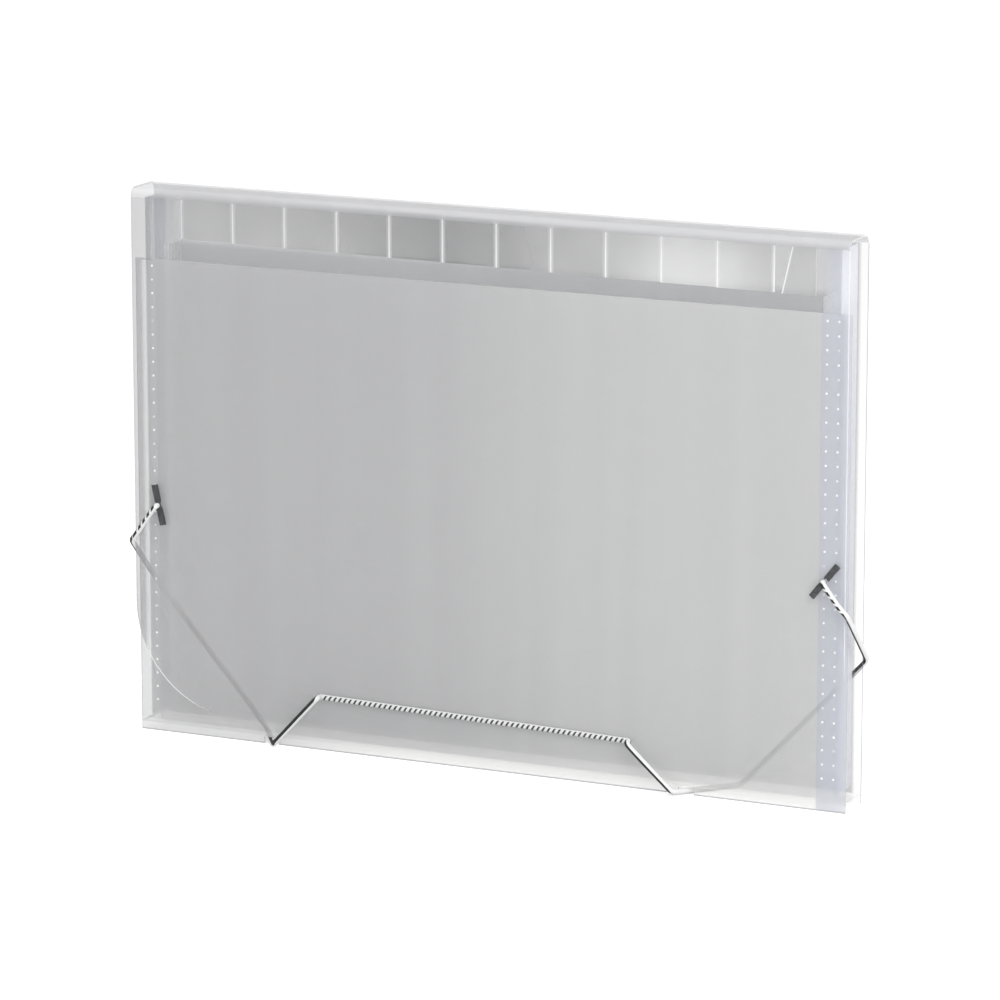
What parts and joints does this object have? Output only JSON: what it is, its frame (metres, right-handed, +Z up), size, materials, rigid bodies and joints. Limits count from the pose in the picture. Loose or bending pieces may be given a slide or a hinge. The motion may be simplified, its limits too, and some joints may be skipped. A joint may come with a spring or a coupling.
{
  "type": "expanding file",
  "caption": "Clear plastic expanding file with stepped index tabs, pleated sides, a fold-over cover flap and an elastic cord closure.",
  "frame": {"origin": "centre of the bounding box's bottom face, where the file stands", "axes": "+X along the width, -Y out of the front flap, +Z up towards the tabs"},
  "size_m": [0.335, 0.027, 0.24],
  "materials": {
    "clear_sheet": "clear polypropylene sheet with a fine haze",
    "frosted_divider": "thin translucent polypropylene sheet",
    "clear_film": "pleated clear film",
    "spot_weld": "small clear weld marks",
    "elastic_cord": "braided elastic, pale with dark flecks",
    "bar_metal": "dark metal end bar"
  },
  "bodies": {
    "case": {"back_panel": "clear_sheet", "bottom_gusset": "clear_sheet", "left_concertina": "clear_film", "right_concertina": "clear_film", "back_spot_welds": "spot_weld"},
    "front": {"front_panel": "clear_sheet", "front_spot_welds": "spot_weld"},
    "top_strip": {"top_gusset": "clear_sheet"},
    "flap": {"cover_flap": "clear_sheet", "elastic_centre_run": "elastic_cord", "t_bar_left": "bar_metal", "t_bar_right": "bar_metal"},
    "left_loop": {"elastic_left_loop": "elastic_cord"},
    "right_loop": {"elastic_right_loop": "elastic_cord"},
    "divider_01": {"divider_01": "frosted_divider"},
    "divider_02": {"divider_02": "frosted_divider"},
    "divider_03": {"divider_03": "frosted_divider"},
    "divider_04": {"divider_04": "frosted_divider"},
    "divider_05": {"divider_05": "frosted_divider"},
    "divider_06": {"divider_06": "frosted_divider"},
    "divider_07": {"divider_07": "frosted_divider"},
    "divider_08": {"divider_08": "frosted_divider"},
    "divider_09": {"divider_09": "frosted_divider"},
    "divider_10": {"divider_10": "frosted_divider"},
    "divider_11": {"divider_11": "frosted_divider"},
    "divider_12": {"divider_12": "frosted_divider"}
  },
  "joints": [
    {"name": "cover_lift", "type": "hinge", "parent": "case", "child": "top_strip", "pos_m": [0, 0.011, 0.236], "axis": [-1, 0, 0], "range_deg": [0, 180]},
    {"name": "flap_fold", "type": "hinge", "parent": "top_strip", "child": "flap", "pos_m": [0, -0.011, 0.236], "axis": [-1, 0, 0], "range_deg": [0, 180]},
    {"name": "front_fan", "type": "hinge", "parent": "case", "child": "front", "pos_m": [0, -0.0075, 0], "axis": [1, 0, 0], "range_deg": [0, 9.9], "deforming": ["left_concertina", "right_concertina"]},
    {"name": "divider_01_fan", "type": "hinge", "parent": "case", "child": "divider_01", "pos_m": [0, -0.0075, 0], "axis": [1, 0, 0], "range_deg": [0, 0.1304]},
    {"name": "divider_02_fan", "type": "hinge", "parent": "case", "child": "divider_02", "pos_m": [0, -0.0075, 0], "axis": [1, 0, 0], "range_deg": [0, 0.5744]},
    {"name": "divider_03_fan", "type": "hinge", "parent": "case", "child": "divider_03", "pos_m": [0, -0.0075, 0], "axis": [1, 0, 0], "range_deg": [0, 1.28]},
    {"name": "divider_04_fan", "type": "hinge", "parent": "case", "child": "divider_04", "pos_m": [0, -0.0075, 0], "axis": [1, 0, 0], "range_deg": [0, 2.18]},
    {"name": "divider_05_fan", "type": "hinge", "parent": "case", "child": "divider_05", "pos_m": [0, -0.0075, 0], "axis": [1, 0, 0], "range_deg": [0, 3.23]},
    {"name": "divider_06_fan", "type": "hinge", "parent": "case", "child": "divider_06", "pos_m": [0, -0.0075, 0], "axis": [1, 0, 0], "range_deg": [0, 4.37]},
    {"name": "divider_07_fan", "type": "hinge", "parent": "case", "child": "divider_07", "pos_m": [0, -0.0075, 0], "axis": [1, 0, 0], "range_deg": [0, 5.53]},
    {"name": "divider_08_fan", "type": "hinge", "parent": "case", "child": "divider_08", "pos_m": [0, -0.0075, 0], "axis": [1, 0, 0], "range_deg": [0, 6.67]},
    {"name": "divider_09_fan", "type": "hinge", "parent": "case", "child": "divider_09", "pos_m": [0, -0.0075, 0], "axis": [1, 0, 0], "range_deg": [0, 7.72]},
    {"name": "divider_10_fan", "type": "hinge", "parent": "case", "child": "divider_10", "pos_m": [0, -0.0075, 0], "axis": [1, 0, 0], "range_deg": [0, 8.62]},
    {"name": "divider_11_fan", "type": "hinge", "parent": "case", "child": "divider_11", "pos_m": [0, -0.0075, 0], "axis": [1, 0, 0], "range_deg": [0, 9.33]},
    {"name": "divider_12_fan", "type": "hinge", "parent": "case", "child": "divider_12", "pos_m": [0, -0.0075, 0], "axis": [1, 0, 0], "range_deg": [0, 9.77]},
    {"name": "left_loop_release", "type": "hinge", "parent": "flap", "child": "left_loop", "pos_m": [-0.1542, -0.0106, 0.1015], "axis": [-0.7067, 0, 0.7076], "range_deg": [0, 90], "deforming": ["elastic_left_loop"]},
    {"name": "right_loop_release", "type": "hinge", "parent": "flap", "child": "right_loop", "pos_m": [0.1554, -0.0106, 0.098], "axis": [-0.7483, 0, -0.6634], "range_deg": [0, 90], "deforming": ["elastic_right_loop"]}
  ],
  "couplings": [
    {"joint": "front_fan", "follows": "cover_lift", "ratio": 0.055},
    {"joint": "divider_01_fan", "follows": "cover_lift", "ratio": 0.000724},
    {"joint": "divider_02_fan", "follows": "cover_lift", "ratio": 0.003191},
    {"joint": "divider_03_fan", "follows": "cover_lift", "ratio": 0.007098},
    {"joint": "divider_04_fan", "follows": "cover_lift", "ratio": 0.012127},
    {"joint": "divider_05_fan", "follows": "cover_lift", "ratio": 0.017956},
    {"joint": "divider_06_fan", "follows": "cover_lift", "ratio": 0.024265},
    {"joint": "divider_07_fan", "follows": "cover_lift", "ratio": 0.030735},
    {"joint": "divider_08_fan", "follows": "cover_lift", "ratio": 0.037044},
    {"joint": "divider_09_fan", "follows": "cover_lift", "ratio": 0.042873},
    {"joint": "divider_10_fan", "follows": "cover_lift", "ratio": 0.047902},
    {"joint": "divider_11_fan", "follows": "cover_lift", "ratio": 0.051809},
    {"joint": "divider_12_fan", "follows": "cover_lift", "ratio": 0.054276}
  ]
}
